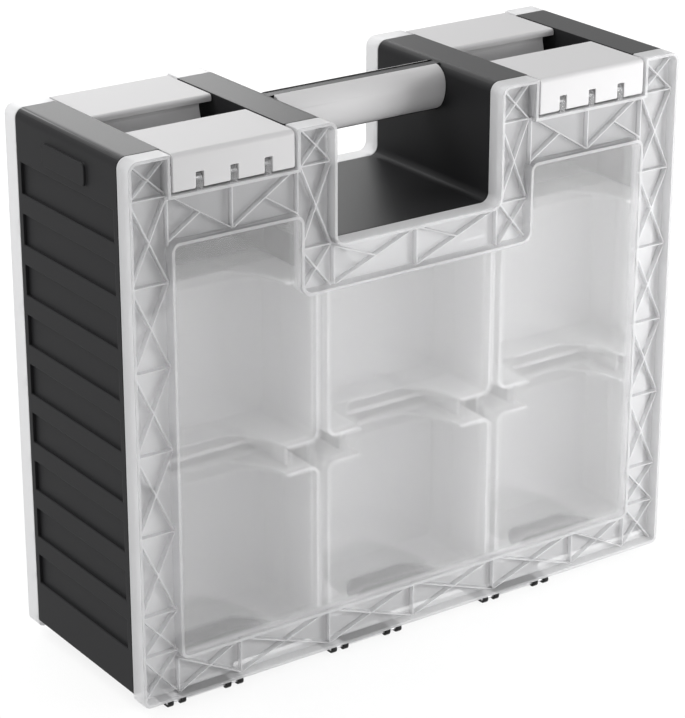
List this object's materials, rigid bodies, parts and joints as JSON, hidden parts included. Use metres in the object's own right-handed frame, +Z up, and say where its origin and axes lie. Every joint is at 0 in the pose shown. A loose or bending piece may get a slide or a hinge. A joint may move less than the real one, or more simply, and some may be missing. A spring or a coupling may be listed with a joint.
{
  "type": "miniature carry case",
  "caption": "Double-sided carry case for miniatures and game pieces, with a through-grip handle, see-through ribbed lids on hinges, over-top latches and lift-out bins.",
  "frame": {"origin": "on the ground under the centre of the case: the middle of the bounding box's bottom face", "axes": "+Z up, +X along the case's width to the right as seen from the front lid, +Y from the front lid to the rear lid"},
  "size_m": [0.3786, 0.133, 0.3239],
  "materials": {
    "dark_plastic": "dark grey moulded plastic, fine satin",
    "black_plastic": "black moulded plastic, satin",
    "light_plastic": "light grey moulded plastic, satin",
    "clear_lid": "translucent moulded plastic, lightly frosted",
    "clear_bin": "translucent moulded plastic, frosted",
    "pin_steel": "plain steel wire"
  },
  "bodies": {
    "case": {"body": "dark_plastic", "grip_front": "light_plastic", "grip_rear": "light_plastic", "bin_front_low_left": "clear_bin", "bin_front_low_middle": "clear_bin", "bin_front_low_right": "clear_bin", "bin_front_high_left": "clear_bin", "bin_front_high_middle": "clear_bin", "bin_front_high_right": "clear_bin", "bin_rear_low_left": "clear_bin", "bin_rear_low_middle": "clear_bin", "bin_rear_low_right": "clear_bin", "bin_rear_high_left": "clear_bin", "bin_rear_high_middle": "clear_bin", "bin_rear_high_right": "clear_bin", "hinge_bracket_front_1": "black_plastic", "hinge_bracket_front_2": "black_plastic", "hinge_bracket_front_3": "black_plastic", "hinge_bracket_rear_1": "black_plastic", "hinge_bracket_rear_2": "black_plastic", "hinge_bracket_rear_3": "black_plastic", "hinge_pin_front_1": "pin_steel", "hinge_pin_front_2": "pin_steel", "hinge_pin_front_3": "pin_steel", "hinge_pin_rear_1": "pin_steel", "hinge_pin_rear_2": "pin_steel", "hinge_pin_rear_3": "pin_steel"},
    "front_lid": {"lid_front": "clear_lid", "hinge_leaf_front_1": "black_plastic", "hinge_leaf_front_2": "black_plastic", "hinge_leaf_front_3": "black_plastic", "latch_pin_front_left": "pin_steel", "latch_pin_front_right": "pin_steel"},
    "front_left_latch": {"latch_front_left": "light_plastic"},
    "front_right_latch": {"latch_front_right": "light_plastic"},
    "rear_lid": {"lid_rear": "clear_lid", "hinge_leaf_rear_1": "black_plastic", "hinge_leaf_rear_2": "black_plastic", "hinge_leaf_rear_3": "black_plastic", "latch_pin_rear_left": "pin_steel", "latch_pin_rear_right": "pin_steel"},
    "rear_left_latch": {"latch_rear_left": "light_plastic"},
    "rear_right_latch": {"latch_rear_right": "light_plastic"}
  },
  "joints": [
    {"name": "front_lid_hinge", "type": "hinge", "parent": "case", "child": "front_lid", "pos_m": [0, -0.0615, 0.0026], "axis": [1, 0, 0], "range_deg": [0, 180]},
    {"name": "front_left_latch_hinge", "type": "hinge", "parent": "front_lid", "child": "front_left_latch", "pos_m": [-0.12225, -0.0622, 0.30755], "axis": [1, 0, 0], "range_deg": [0, 100]},
    {"name": "front_right_latch_hinge", "type": "hinge", "parent": "front_lid", "child": "front_right_latch", "pos_m": [0.12225, -0.0622, 0.30755], "axis": [1, 0, 0], "range_deg": [0, 100]},
    {"name": "rear_lid_hinge", "type": "hinge", "parent": "case", "child": "rear_lid", "pos_m": [0, 0.0615, 0.0026], "axis": [-1, 0, 0], "range_deg": [0, 180]},
    {"name": "rear_left_latch_hinge", "type": "hinge", "parent": "rear_lid", "child": "rear_left_latch", "pos_m": [-0.12225, 0.0622, 0.30755], "axis": [-1, 0, 0], "range_deg": [0, 100]},
    {"name": "rear_right_latch_hinge", "type": "hinge", "parent": "rear_lid", "child": "rear_right_latch", "pos_m": [0.12225, 0.0622, 0.30755], "axis": [-1, 0, 0], "range_deg": [0, 100]}
  ]
}
